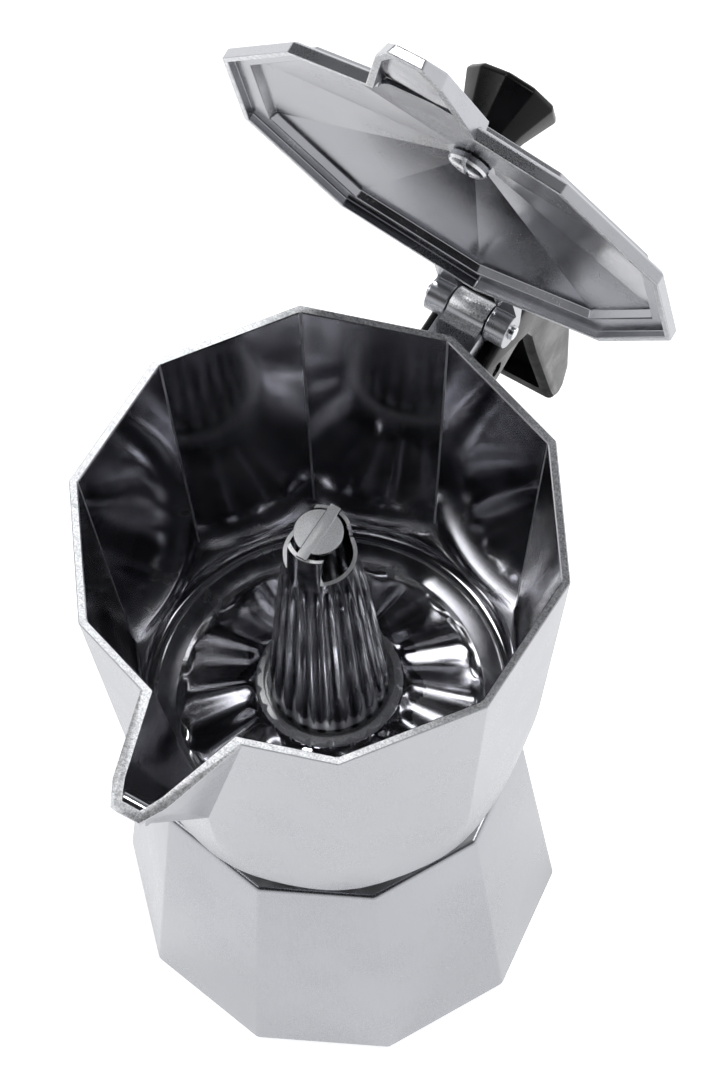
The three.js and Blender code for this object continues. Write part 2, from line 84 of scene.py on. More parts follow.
BASE_R, SHOULDER_R, SHOULDER_Z = 49.3, 42.75, 69.8
BOILER_TURN = 8.25
NECK_R, NECK_Z, MOUTH_R, THREAD_R = 34.8, 82.3, 29.6, 35.8

HANDLE_HALF, FORK_HALF, POCKET_HALF = 8.8, 5.8, 6.6
PIN_X, PIN_Z = 58.5, 157.5

VALVE_AZIMUTH, VALVE_Z = BOILER_TURN + 54, 44.0


# ---------- modelling ----------

def deselect():
    bpy.ops.object.select_all(action="DESELECT")


def pick(piece):
    deselect()
    piece.select_set(True)
    bpy.context.view_layer.objects.active = piece


def edit(piece):
    """Opens a piece in edit mode with all of it selected."""
    pick(piece)
    bpy.ops.object.mode_set(mode="EDIT")
    bpy.ops.mesh.select_all(action="SELECT")


def close_edit():
    bpy.ops.mesh.select_all(action="SELECT")
    bpy.ops.mesh.normals_make_consistent(inside=False)
    bpy.ops.object.mode_set(mode="OBJECT")


def settle(piece):
    """Puts a piece's place, turn and size into its mesh."""
    pick(piece)
    bpy.ops.object.transform_apply(location=True, rotation=True, scale=True)
    return piece


def turned(profile, sides=96, turn=0.0, ring=False):
    """A lathe shape: a circle, extruded and widened along a profile of (radius, height)."""
    deselect()
    radius, height = profile[0]
    bpy.ops.mesh.primitive_circle_add(
        vertices=sides, radius=radius * MM, fill_type="NOTHING" if ring else "NGON",
        location=(0, 0, height * MM), rotation=(0, 0, math.radians(turn - 90)))
    piece = settle(bpy.context.object)
    edit(piece)
    for (radius, height), (next_radius, next_height) in zip(profile, profile[1:]):
        widen = next_radius / radius
        bpy.ops.mesh.extrude_region_move(
            TRANSFORM_OT_translate={"value": (0, 0, (next_height - height) * MM)})
        bpy.ops.transform.resize(value=(widen, widen, 1))
    if ring:
        bpy.ops.mesh.select_all(action="DESELECT")
        bpy.ops.mesh.select_non_manifold()
        bpy.ops.mesh.bridge_edge_loops()
    close_edit()
    return piece


def pressed(azimuths, outline):
    """A sheet wrapped round the axis and closed on itself; outline(azimuth) gives its section there."""
    sections = [outline(azimuth) for azimuth in azimuths]
    around, along = len(azimuths), len(sections[0])
    deselect()
    bpy.ops.mesh.primitive_grid_add(x_subdivisions=around, y_subdivisions=along, size=1)
    sheet = bpy.context.object
    for vertex in sheet.data.vertices:
        column = round((vertex.co.x + 0.5) * around) % around
        row = round((vertex.co.y + 0.5) * along) % along
        radius, height = sections[column][row]
        turn = math.radians(azimuths[column])
        vertex.co = Vector((radius * math.cos(turn), radius * math.sin(turn), height)) * MM
    edit(sheet)
    bpy.ops.mesh.remove_doubles(threshold=1e-6)
    close_edit()
    return sheet


def box(low, high):
    deselect()
    centre = [(a + b) / 2 * MM for a, b in zip(low, high)]
    size = [(b - a) * MM for a, b in zip(low, high)]
    bpy.ops.mesh.primitive_cube_add(size=1, location=centre, scale=size)
    return settle(bpy.context.object)


def rod(radius, start, end, sides=48):
    """A round bar between two points."""
    deselect()
    start, end = Vector(start) * MM, Vector(end) * MM
    along = end - start
    bpy.ops.mesh.primitive_cylinder_add(
        vertices=sides, radius=radius * MM, depth=along.length, location=(start + end) / 2,
        rotation=along.to_track_quat("Z", "Y").to_euler())
    return settle(bpy.context.object)


def hull(points):
    """The flat-sided solid that wraps a few points."""
    mesh = bpy.data.meshes.new("hull")
    mesh.from_pydata([Vector(point) * MM for point in points], [], [])
    piece = bpy.data.objects.new("hull", mesh)
    bpy.context.collection.objects.link(piece)
    edit(piece)
    bpy.ops.mesh.convex_hull()
    bpy.ops.mesh.dissolve_limited(angle_limit=math.radians(0.5))
    close_edit()
    return piece


def plate(outline, low, high):
    """A side view of (x, z) points, filled and extruded from y = low to y = high."""
    mesh = bpy.data.meshes.new("plate")
    corners = [Vector((x, low, z)) * MM for x, z in outline]
    mesh.from_pydata(corners, [], [list(range(len(corners)))])
    piece = bpy.data.objects.new("plate", mesh)
    bpy.context.collection.objects.link(piece)
    edit(piece)
    bpy.ops.mesh.extrude_region_move(TRANSFORM_OT_translate={"value": (0, (high - low) * MM, 0)})
    close_edit()
    return piece


def mirrored(points):
    """Each point and its mirror image across the XZ plane."""
    return [(x, side * y, z) for x, y, z in points for side in (1, -1)]


def apply(piece, kind, **settings):
    modifier = piece.modifiers.new(kind.lower(), kind)
    for name, value in settings.items():
        setattr(modifier, name, value)
    pick(piece)
    bpy.ops.object.modifier_apply(modifier=modifier.name)
    return piece


def soften(piece, width, angle=25, segments=2):
    """Rounds every edge sharper than the angle."""
    return apply(piece, "BEVEL", width=width * MM, segments=segments, limit_method="ANGLE",
                 angle_limit=math.radians(angle), use_clamp_overlap=True)


def combine(piece, tool, operation):
    apply(piece, "BOOLEAN", object=tool, operation=operation, solver="EXACT")
    bpy.data.objects.remove(tool)
    return piece


def join(piece, *tools):
    for tool in tools:
        combine(piece, tool, "UNION")
    return piece


def cut(piece, *tools):
    for tool in tools:
        combine(piece, tool, "DIFFERENCE")
    return piece


def finish(piece, name, body, node, materials, choose=None, swing=None, angle=30):
    """Names a piece, smooths it, gives it its finishes, swings it open and hangs it on its body."""
    pick(piece)
    bpy.ops.object.shade_smooth_by_angle(angle=math.radians(angle))
    piece.name = name
    piece.data.name = name
    piece.data.materials.clear()
    for material in materials:
        piece.data.materials.append(material)
    for face in piece.data.polygons:
        face.material_index = choose(face.center / MM, face.normal) if choose else 0
    if swing:
        piece.matrix_world = swing
        settle(piece)
    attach(piece, body)
    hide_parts(node)
    return piece


# ---------- finishes ----------

class Finish:
    """A procedural finish: noise and bands wired to one shader, in the object's own coordinates."""

    def __init__(self, name, metallic, roughness, colour):
        self.material = bpy.data.materials.new(name)
        self.material.use_nodes = True
        self.nodes = self.material.node_tree.nodes
        self.links = self.material.node_tree.links
        self.shader = self.nodes["Principled BSDF"]
        self.shader.inputs["Metallic"].default_value = metallic
        self.shader.inputs["Roughness"].default_value = roughness
        self.shader.inputs["Base Color"].default_value = (*colour, 1)
        self.place = self.nodes.new("ShaderNodeTexCoord").outputs["Object"]
        self.normal = None

    def wire(self, source, socket):
        self.links.new(source, socket)

    def noise(self, scale, detail=3.0, stretch=(1, 1, 1), roughness=0.5):
        """Cloudy noise; scale is in features to the millimetre."""
        mapping = self.nodes.new("ShaderNodeMapping")
        mapping.inputs["Scale"].default_value = [scale * s / MM for s in stretch]
        self.wire(self.place, mapping.inputs["Vector"])
        noise = self.nodes.new("ShaderNodeTexNoise")
        noise.inputs["Scale"].default_value = 1
        noise.inputs["Detail"].default_value = detail
        noise.inputs["Roughness"].default_value = roughness
        self.wire(mapping.outputs["Vector"], noise.inputs["Vector"])
        return noise.outputs["Fac"]

    def rings(self, scale, distortion=0.5):
        """Turning marks round the Z axis; scale is in marks to the millimetre."""
        mapping = self.nodes.new("ShaderNodeMapping")
        mapping.inputs["Scale"].default_value = [scale / MM] * 3
        self.wire(self.place, mapping.inputs["Vector"])
        wave = self.nodes.new("ShaderNodeTexWave")
        wave.wave_type = "RINGS"
        wave.rings_direction = "Z"
        wave.inputs["Scale"].default_value = 0.3
        wave.inputs["Distortion"].default_value = distortion
        wave.inputs["Detail"].default_value = 2
        self.wire(mapping.outputs["Vector"], wave.inputs["Vector"])
        return wave.outputs["Fac"]

    def spread(self, source, low, high, start=0.3, end=0.7):
        """Stretches the middle of a pattern over a range of values."""
        stretch = self.nodes.new("ShaderNodeMapRange")
        stretch.inputs["From Min"].default_value = start
        stretch.inputs["From Max"].default_value = end
        stretch.inputs["To Min"].default_value = low
        stretch.inputs["To Max"].default_value = high
        self.wire(source, stretch.inputs["Value"])
        return stretch.outputs["Result"]

    def sum(self, first, second, weight):
        add = self.nodes.new("ShaderNodeMath")
        add.operation = "MULTIPLY_ADD"
        add.inputs[1].default_value = weight
        self.wire(second, add.inputs[0])
        self.wire(first, add.inputs[2])
        return add.outputs["Value"]

    def flutes(self, count):
        """Regular stripes round the Z axis, one for each flute."""
        split = self.nodes.new("ShaderNodeSeparateXYZ")
        self.wire(self.place, split.inputs["Vector"])
        azimuth = self.nodes.new("ShaderNodeMath")
        azimuth.operation = "ARCTAN2"
        self.wire(split.outputs["Y"], azimuth.inputs[0])
        self.wire(split.outputs["X"], azimuth.inputs[1])
        times = self.nodes.new("ShaderNodeMath")
        times.operation = "MULTIPLY"
        times.inputs[1].default_value = count
        self.wire(azimuth.outputs["Value"], times.inputs[0])
        wave = self.nodes.new("ShaderNodeMath")
        wave.operation = "COSINE"
        self.wire(times.outputs["Value"], wave.inputs[0])
        return self.spread(wave.outputs["Value"], 0, 1, -1, 1)

    def tint(self, source, dark, light, start=0.35, end=0.65):
        ramp = self.nodes.new("ShaderNodeValToRGB")
        ramp.color_ramp.elements[0].position = start
        ramp.color_ramp.elements[0].color = (*dark, 1)
        ramp.color_ramp.elements[1].position = end
        ramp.color_ramp.elements[1].color = (*light, 1)
        self.wire(source, ramp.inputs["Fac"])
        self.wire(ramp.outputs["Color"], self.shader.inputs["Base Color"])
        return self

    def rough(self, source, low, high, start=0.3, end=0.7):
        self.wire(self.spread(source, low, high, start, end), self.shader.inputs["Roughness"])
        return self

    def bump(self, source, distance, strength=1.0):
        """Adds relief; distance is in millimetres."""
        bump = self.nodes.new("ShaderNodeBump")
        bump.inputs["Strength"].default_value = strength
        bump.inputs["Distance"].default_value = distance * MM
        self.wire(source, bump.inputs["Height"])
        if self.normal:
            self.wire(self.normal, bump.inputs["Normal"])
        self.normal = bump.outputs["Normal"]
        self.wire(self.normal, self.shader.inputs["Normal"])
        return self


def satin_cast():
    """Pale tumbled aluminium, as on the outside of the pot."""
    skin = Finish("satin_cast", 1, 0.3, (0.55, 0.56, 0.6))
    cloud = skin.noise(0.06, 4)
    grain = skin.noise(3.0, 2)
    brushed = skin.noise(2.5, 3, stretch=(1, 1, 0.06))
    skin.tint(skin.sum(cloud, brushed, 0.5), (0.385, 0.393, 0.422), (0.43, 0.438, 0.465), 0.4, 0.85)
    skin.rough(skin.sum(cloud, grain, 0.8), 0.25, 0.33, 0.6, 1.2)
    skin.bump(brushed, 0.012, 0.35)
    skin.bump(grain, 0.008, 0.3)
    return skin.material


def ground_edge():
    """Aluminium ground flat, with a bright grainy face."""
    skin = Finish("ground_edge", 0.85, 0.4, (0.7, 0.71, 0.73))
    grit = skin.noise(2.6, 4, roughness=0.7)
    scratch = skin.noise(1.4, 4, stretch=(1, 0.2, 1))
    skin.tint(skin.sum(grit, scratch, 0.35), (0.34, 0.35, 0.37), (0.86, 0.87, 0.89), 0.5, 0.82)
    skin.rough(grit, 0.26, 0.55)
    skin.bump(grit, 0.05, 0.7)
    return skin.material


def mirror_inside():
    """Polished aluminium with slow waves left by the buffing wheel."""
    skin = Finish("mirror_inside", 1, 0.12, (0.62, 0.62, 0.65))
    cloud = skin.noise(0.05, 3)
    slow = skin.noise(0.03, 1)
    grain = skin.noise(2.2, 3, roughness=0.6)
    skin.tint(cloud, (0.42, 0.42, 0.45), (0.54, 0.54, 0.57))
    skin.rough(skin.sum(cloud, grain, 0.5), 0.06, 0.16, 0.55, 0.95)
    skin.bump(slow, 0.1, 0.3)
    skin.bump(grain, 0.0015, 0.3)
    return skin.material


def corner_highlight():
    """The casting's inside corners, with a painted highlight: a fine pale line where the corner fillets would
    catch the light.
    """
    skin = Finish("corner_highlight", 0.6, 0.4, (0.6, 0.6, 0.63))
    cloud = skin.noise(0.12, 4)
    skin.tint(cloud, (0.42, 0.42, 0.45), (0.75, 0.75, 0.78))
    skin.rough(skin.noise(2.0, 3), 0.3, 0.5)
    return skin.material


def petal_floor():
    """The pressed petals of the floor, brighter than the walls and faintly grained."""
    skin = Finish("petal_floor", 1, 0.14, (0.8, 0.805, 0.83))
    cloud = skin.noise(0.08, 3)
    grain = skin.noise(2.6, 3, roughness=0.7)
    skin.tint(cloud, (0.72, 0.725, 0.75), (0.86, 0.865, 0.88))
    skin.rough(skin.sum(cloud, grain, 0.6), 0.09, 0.24, 0.55, 1.0)
    skin.bump(grain, 0.002, 0.35)
    return skin.material


def lid_inside():
    """Polished like the inside of the pot, greyed by steam."""
    skin = Finish("lid_inside", 1, 0.2, (0.33, 0.335, 0.36))
    cloud = skin.noise(0.05, 4)
    grain = skin.noise(2.2, 3, roughness=0.6)
    skin.tint(skin.sum(cloud, grain, 0.3), (0.27, 0.275, 0.3), (0.37, 0.375, 0.4), 0.45, 0.85)
    skin.rough(skin.sum(cloud, grain, 0.5), 0.14, 0.3, 0.55, 0.95)
    skin.bump(grain, 0.002, 0.3)
    return skin.material


def turned_floor():
    """The same metal, finished on the lathe."""
    skin = Finish("turned_floor", 1, 0.2, (0.66, 0.665, 0.69))
    cloud = skin.noise(0.1, 4)
    marks = skin.rings(5.0)
    skin.tint(cloud, (0.6, 0.61, 0.63), (0.78, 0.785, 0.8))
    skin.rough(cloud, 0.16, 0.3)
    skin.bump(marks, 0.002, 0.3)
    return skin.material


def bright_press():
    """Pressed bright aluminium of the column, collar and cap."""
    skin = Finish("bright_press", 1, 0.1, (0.86, 0.865, 0.88))
    cloud = skin.noise(0.2, 4)
    grain = skin.noise(3.0, 3)
    skin.rough(skin.sum(cloud, grain, 0.3), 0.06, 0.2, 0.45, 0.85)
    skin.bump(grain, 0.0015, 0.3)
    return skin.material


def fluted_press():
    """The column's bright sheet, with painted shade down in each flute and painted highlight stripes on the
    ridges between them.
    """
    skin = Finish("fluted_press", 1, 0.12, (0.8, 0.805, 0.82))
    grain = skin.noise(3.0, 3)
    # painted shade in the flutes and painted highlight on the ridges, following the flute wave
    skin.tint(skin.sum(skin.flutes(FLUTES), grain, 0.4), (0.2, 0.2, 0.22), (0.92, 0.925, 0.94), 0.25, 0.95)
    skin.rough(grain, 0.08, 0.2)
    skin.bump(grain, 0.0015, 0.3)
    return skin.material


def dull_bakelite():
    """The moulding's matt inner faces."""
    skin = Finish("dull_bakelite", 0, 0.6, (0.003, 0.003, 0.004))
    skin.shader.inputs["Specular IOR Level"].default_value = 0.06
    cloud = skin.noise(0.2, 4)
    skin.tint(cloud, (0.002, 0.002, 0.0025), (0.005, 0.005, 0.006))
    skin.rough(cloud, 0.5, 0.7)
    skin.bump(skin.noise(3.0, 3), 0.01, 0.3)
    return skin.material


def stamped_face():
    """The flat grainy face of the cap and of the lip round the outlets."""
    skin = Finish("stamped_face", 0.5, 0.4, (0.8, 0.81, 0.83))
    grit = skin.noise(3.2, 4, roughness=0.7)
    skin.tint(grit, (0.72, 0.73, 0.76), (0.95, 0.96, 0.97), 0.4, 0.62)
    skin.rough(grit, 0.25, 0.5)
    skin.bump(grit, 0.05, 0.6)
    return skin.material


def black_bakelite():
    skin = Finish("black_bakelite", 0, 0.3, (0.003, 0.003, 0.004))
    skin.shader.inputs["Specular IOR Level"].default_value = 0.2
    cloud = skin.noise(0.15, 4)
    grain = skin.noise(4.0, 2)
    skin.tint(cloud, (0.003, 0.003, 0.0035), (0.006, 0.006, 0.007))
    skin.rough(skin.sum(cloud, grain, 0.3), 0.2, 0.36, 0.45, 0.85)
    skin.bump(grain, 0.01, 0.3)
    return skin.material


def pale_rubber():
    skin = Finish("pale_rubber", 0, 0.6, (0.8, 0.77, 0.68))
    cloud = skin.noise(0.3, 4)
    skin.tint(cloud, (0.7, 0.67, 0.58), (0.84, 0.82, 0.75))
    skin.rough(cloud, 0.5, 0.7)
    skin.bump(skin.noise(4.0, 3), 0.03, 0.4)
    return skin.material


def valve_brass():
    skin = Finish("valve_brass", 1, 0.25, (0.72, 0.52, 0.24))
    cloud = skin.noise(0.4, 4)
    skin.tint(cloud, (0.6, 0.42, 0.18), (0.8, 0.6, 0.3))
    skin.rough(cloud, 0.18, 0.36)
    skin.bump(skin.noise(3.0, 3, stretch=(1, 1, 0.2)), 0.01, 0.4)
    return skin.material


def bright_steel():
    skin = Finish("bright_steel", 1, 0.2, (0.66, 0.67, 0.69))
    cloud = skin.noise(0.5, 4)
    skin.tint(cloud, (0.56, 0.57, 0.6), (0.74, 0.75, 0.77))
    skin.rough(cloud, 0.14, 0.32)
    skin.bump(skin.noise(3.5, 3, stretch=(1, 0.2, 1)), 0.01, 0.4)
    return skin.material


def drawn_sheet():
    """Thin drawn aluminium of the funnel and the filter."""
    skin = Finish("drawn_sheet", 1, 0.3, (0.78, 0.79, 0.81))
    cloud = skin.noise(0.15, 4)
    marks = skin.rings(4.0)
    skin.tint(cloud, (0.54, 0.55, 0.57), (0.62, 0.63, 0.65))
    skin.rough(cloud, 0.24, 0.4)
    skin.bump(marks, 0.01, 0.4)
    return skin.material


def dull_inside():
    """Aluminium greyed by water, inside the boiler."""
    skin = Finish("dull_inside", 1, 0.45, (0.55, 0.56, 0.57))
    cloud = skin.noise(0.12, 5)
    skin.tint(cloud, (0.36, 0.36, 0.36), (0.66, 0.67, 0.68))
    skin.rough(cloud, 0.36, 0.6)
    skin.bump(skin.noise(1.5, 4), 0.03, 0.5)
    return skin.material


SATIN = satin_cast()
DULL = dull_inside()
GROUND = ground_edge()
MIRROR = mirror_inside()
LID_INSIDE = lid_inside()
# a painted highlight for the fine pale line in each inside corner
CORNER_HIGHLIGHT = corner_highlight()
PETAL = petal_floor()
FLOOR = turned_floor()
BRIGHT = bright_press()
# the column's sheet, with painted shade in its flutes and painted highlight on its ridges
FLUTED = fluted_press()
DULL_BLACK = dull_bakelite()
STAMPED = stamped_face()
BAKELITE = black_bakelite()
RUBBER = pale_rubber()
BRASS = valve_brass()
STEEL = bright_steel()
SHEET = drawn_sheet()


# ---------- collector ----------

# degrees from a corner to a facet's middle
FACET_STEPS = (0.15, 0.3, 0.6, 1.5, 3, 5.5, 8, 10.5, 13, 15.5, 18)


def facet_azimuths():
    """Azimuths round the pot, crowded at the corners."""
    half = [0, *FACET_STEPS]
    facet = half + [FACET - step for step in reversed(half[1:-1])]
    return [corner * FACET + step for corner in range(SIDES) for step in facet]


def facet_radius(corner_radius, azimuth, rounding=CORNER_ROUND):
    """Distance from the axis to a ten-sided wall whose corners are rounded."""
    flat = corner_radius * math.cos(math.radians(HALF_FACET))
    off = math.radians((azimuth % FACET) - HALF_FACET)
    from_corner = flat * (math.tan(math.radians(HALF_FACET)) - math.tan(abs(off)))
    reach = rounding * math.tan(math.radians(HALF_FACET))
    return flat / math.cos(off) - max(0, reach - from_corner) ** 2 / (2 * rounding)


def corner_line(height):
    return RIM_R - SLOPE * (RIM_Z - height)


def blend_min(a, b, width):
    """The smaller of two lengths, with a smooth passage between them."""
    h = max(width - abs(a - b), 0) / width
    return min(a, b) - h * h * width / 4


def chamfer_min(a, b, depth):
    """The smaller of two lengths, with the edge between them chamfered."""
    return min(a, b, (a + b) / 2 - depth)


def outer_wall(azimuth):
    """From the round foot to the rim, the corners growing out of the turned cone."""
    low, top = SKIRT_Z + 0.6, RIM_Z - RIM_EDGE
    points = [(SKIRT_R - 0.6, SKIRT_Z)]
    for step in range(41):
        height = low + (top - low) * (step / 40) ** 1.4
        foot = SKIRT_R + FOOT_SLOPE * (height - low)
        points.append((blend_min(facet_radius(corner_line(height), azimuth), foot, 1.6), height))
    return points


def rim(azimuth):
    outside = facet_radius(RIM_R, azimuth)
    inside = facet_radius(RIM_R - WALL, azimuth)
    return [(outside - RIM_EDGE, RIM_Z), ((outside + inside) / 2, RIM_Z), (inside + RIM_EDGE, RIM_Z)]


def inner_wall(azimuth):
    """From the rim down the facet and round the bowl to the channel."""
    low = CHANNEL_Z + 0.4
    points = []
    for step in range(15):
        height = RIM_Z - RIM_EDGE + (low + BOWL_RISE - RIM_Z + RIM_EDGE) * step / 15
        points.append((facet_radius(corner_line(height) - WALL, azimuth), height))
    for step in range(81):
        angle = math.radians(90 - 90 * step / 80)
        height = low + BOWL_RISE * (1 - math.cos(angle))
        bowl = CHANNEL_OUT + 0.7 + BOWL_R * math.sin(angle)
        facet = facet_radius(corner_line(height) - WALL, azimuth)
        points.append((chamfer_min(facet, bowl, BOWL_CHAMFER), height))
    return points


def floor_line(azimuth):
    """The channel, the petals and the hub, in to the hole under the column."""
    points = [(CHANNEL_OUT + 0.25, CHANNEL_Z + 0.3), (CHANNEL_OUT, CHANNEL_Z)]
    points += [(CHANNEL_IN + 0.3, CHANNEL_Z), (CHANNEL_IN, CHANNEL_Z + 0.15)]
    outer, inner, low = CHANNEL_IN - 0.8, HUB_R, CHANNEL_Z - 0.7
    for step in range(29):
        t = step / 28
        radius = outer + (inner - outer) * t
        fade = math.sin(math.pi / 2 * min(1, 10 * t, 8 * (1 - t)))
        wave = PETAL_DEPTH * fade * radius / outer * math.cos(math.radians(PETALS * azimuth))
        points.append((radius, low + (HUB_Z - low) * t + wave))
    points += [(13, HUB_Z), (9.2, HUB_Z), (9, HUB_Z - 0.2)]
    return points


def underside(azimuth):
    """The hollow that takes the gasket and the filter plate, and the thread inside the skirt."""
    points = [(9, 93.2), (12, 92.8), (28.5, 87), (PLATE_R + 0.5, 87), (PLATE_R + 0.5, SEAT_Z), (37.3, SEAT_Z)]
    for turn in (1, 0):
        height = SKIRT_Z + 1.5 + 2 * turn
        points += [(37.3, height + 0.7), (36.3, height + 0.25), (36.3, height - 0.25), (37.3, height - 0.7)]
    return points + [(37.3, SKIRT_Z + 0.3), (37.6, SKIRT_Z)]


def collector_shell():
    def section(azimuth):
        return (outer_wall(azimuth) + rim(azimuth) + inner_wall(azimuth)
                + floor_line(azimuth) + underside(azimuth))
    return pressed(facet_azimuths(), section)


def spout_block():
    root, shoulder, tip = SPOUT_ROOT, SPOUT_SHOULDER, SPOUT_TIP
    keel_r = corner_line(SPOUT_KEEL_Z)
    block = hull(mirrored([
        (-root[0], root[1], RIM_Z), (-shoulder[0], shoulder[1], RIM_Z), (-tip[0], tip[1], RIM_Z),
        (-tip[0] + 1, tip[1] - 0.8, RIM_Z - 3.5), (-44, 10, RIM_Z), (-44, 1, SPOUT_KEEL_Z),
        (-keel_r, 0.1, SPOUT_KEEL_Z),
    ]))
    return soften(block, 0.3, 8)


def spout_channel():
    shoulder, tip = SPOUT_SHOULDER, SPOUT_TIP
    top = RIM_Z + 2
    return hull(mirrored([
        (-44, SPOUT_ROOT[1] - 0.1, top), (-shoulder[0] + 0.7, shoulder[1] - 2, top),
        (-tip[0] + 2, tip[1] - 1.3, top), (-tip[0] + 3, tip[1] - 1.5, RIM_Z - 1.7),
        (-tip[0] + 7, 2.4, RIM_Z - 7), (-44, 1, SPOUT_KEEL_Z + 1), (-44, 7, RIM_Z - 20),
    ]))


def hinge_lug():
    """The bracket inside the handle's fork, the bridge over the rim and the knuckle."""
    half = FORK_HALF - 0.4
    bracket = soften(plate([
        (49, 152), (62, 152.8), (63.5, 154.5), (63.5, 163), (59.3, 165), (58.4, RIM_Z - 0.3),
        (49, RIM_Z - 0.3),
    ], -half, half), 0.4)
    web = plate([
        (57, 163), (HINGE_X, 163), (HINGE_X + 1, HINGE_Z), (HINGE_X - 2, RIM_Z), (57, RIM_Z),
    ], -KNUCKLE_HALF, KNUCKLE_HALF)
    knuckle = rod(KNUCKLE_R, (HINGE_X, -KNUCKLE_HALF, HINGE_Z), (HINGE_X, KNUCKLE_HALF, HINGE_Z), 64)
    return join(bracket, web, soften(knuckle, 0.25))


def collector_finish(place, normal):
    """Which finish a face takes: satin, ground, mirror, turned, painted corner highlight or petal."""
    radius = math.hypot(place.x, place.y)
    if place.z > RIM_Z - 0.1 and normal.z > 0.8:
        return 1
    azimuth = math.degrees(math.atan2(place.y, place.x))
    wall = facet_radius(corner_line(place.z) - WALL / 2, azimuth)
    over_spout = place.x < -44 and abs(place.y) < SPOUT_ROOT[1] and place.z > SPOUT_KEEL_Z
    in_spout = over_spout and normal.z > 0.02
    from_corner = abs((azimuth + HALF_FACET) % FACET - HALF_FACET)
    # faces in each inside corner of the wall take the painted highlight line
    if place.z > 98 and radius < wall and from_corner < CORNER_STRIPE and place.x > -44:
        return 4
    if place.z > 94 and (radius < wall or in_spout):
        return 2
    if place.z > CHANNEL_Z - 1 and radius < CHANNEL_OUT + 9 and normal.z > 0.1:
        if radius < CHANNEL_IN - 0.6:
            return 5
        return 3 if radius < CHANNEL_OUT + 0.5 else 2
    return 0


def inside_room():
    """Everything inside the middle of the collector's wall."""
    low, high = SPOUT_KEEL_Z - 6, RIM_Z + 3
    return turned([(corner_line(low) - WALL / 2, low), (corner_line(high) - WALL / 2, high)], SIDES)


def make_collector():
    pot = collector_shell()
    join(pot, cut(spout_block(), inside_room()))
    cut(pot, spout_channel())
    join(pot, rod(SPOUT_LIP_R, (-SPOUT_LIP_X, -4, SPOUT_LIP_Z), (-SPOUT_LIP_X, 4, SPOUT_LIP_Z), 96))
    join(pot, cut(hinge_lug(), inside_room()))
    cut(pot, rod(PIN_HOLE_R, (PIN_X, -12, PIN_Z), (PIN_X, 12, PIN_Z)))
    cut(pot, rod(HINGE_HOLE_R, (HINGE_X, -12, HINGE_Z), (HINGE_X, 12, HINGE_Z)))
    finish(pot, "collector_pot", "collector_body", "collector",
           [SATIN, GROUND, MIRROR, FLOOR, CORNER_HIGHLIGHT, PETAL], collector_finish)


make_collector()

# ---------- column, collar and cap ----------

COLUMN_FOOT = HUB_Z + 0.3


def column_radius(height):
    share = (height - COLUMN_FOOT) / (COLUMN_LIP_Z - COLUMN_FOOT)
    return COLUMN_BASE_R + (COLUMN_LIP_R - COLUMN_BASE_R) * share


def column_section(azimuth):
    """Up the fluted outside, over the top and down the smooth bore."""
    wave = math.cos(math.radians(FLUTES * azimuth))
    flange_top = COLUMN_FOOT + 0.8
    root = column_radius(COLUMN_FOOT + 1) + 0.3
    points = [(FLANGE_R, COLUMN_FOOT), (FLANGE_R, flange_top), (root, flange_top)]
    start, end = COLUMN_FOOT + 2, COLUMN_TOP_Z - 0.15
    for step in range(25):
        height = start + (end - start) * step / 24
        fade = max(0, min(1, step / 3, (COLUMN_LIP_Z - 4 - height) / 10))
        points.append((column_radius(height) + FLUTE_DEPTH * wave * fade, height))
    points.append((column_radius(COLUMN_TOP_Z) - 0.15, COLUMN_TOP_Z))
    for step in range(9):
        height = COLUMN_TOP_Z + (COLUMN_FOOT - COLUMN_TOP_Z) * step / 8
        points.append((column_radius(height) - COLUMN_WALL, height))
    return points


def column_finish(place, normal):
    """Fluted sheet, plain at the foot and round the lip, grainy on top."""
    if normal.z > 0.9 and (place.z > COLUMN_LIP_Z - 1 or place.z < COLUMN_FOOT + 1):
        return 1
    return 0 if COLUMN_FOOT + 3 < place.z < COLUMN_LIP_Z - 3 else 2


def make_column():
    steps = 16 * FLUTES
    column = pressed([360 * step / steps for step in range(steps)], column_section)
    for side in (1, -1):
        low, high = sorted((side * STRIP_HALF, side * 20))
        cut(column, box((-20, low, COLUMN_LIP_Z), (20, high, RIM_Z)))
    finish(column, "column_tube", "collector_body", "column",
           [FLUTED, STAMPED, BRIGHT], column_finish)


def collar_section(azimuth):
    """A staked ring whose edge is pressed in at every flute."""
    notch = 0.75 * max(0, math.cos(math.radians(FLUTES * azimuth))) ** 2
    low = COLUMN_FOOT
    return [
        (15.3, low), (16.3, low), (16.4 - notch * 0.3, low + 1), (16.2 - notch, low + 1.9),
        (15.8 - notch, low + 2.3), (14.6, low + 2.3), (14.4, low + 2.1), (14.4, low + 1.1), (15.3, low + 1.1),
    ]


def make_collar():
    steps = 16 * FLUTES
    collar = pressed([360 * step / steps for step in range(steps)], collar_section)
    finish(collar, "collar_ring", "collector_body", "column_collar",
           [BRIGHT, STAMPED], lambda place, normal: 1 if normal.z > 0.1 else 0)


def make_cap():
    low, high = COLUMN_TOP_Z + 0.3, COLUMN_TOP_Z + 1.1
    disc = turned([(5.4, low), (5.4, high)], 64)
    join(disc, box((-7.2, -1.3, low), (7.2, 1.3, high)))
    soften(disc, 0.15, 40)
    finish(disc, "column_cap_plate", "collector_body", "column_cap", [BRIGHT, STAMPED],
           lambda place, normal: 1 if normal.z > 0.9 else 0)


make_column()
make_collar()
make_cap()

# ---------- lid and knob, made closed and then swung open about the hinge ----------

SWING = (Matrix.Translation(Vector((HINGE_X, 0, HINGE_Z)) * MM)
         @ Matrix.Rotation(math.radians(LID_OPEN), 4, "Y")
         @ Matrix.Translation(Vector((-HINGE_X, 0, -HINGE_Z)) * MM))


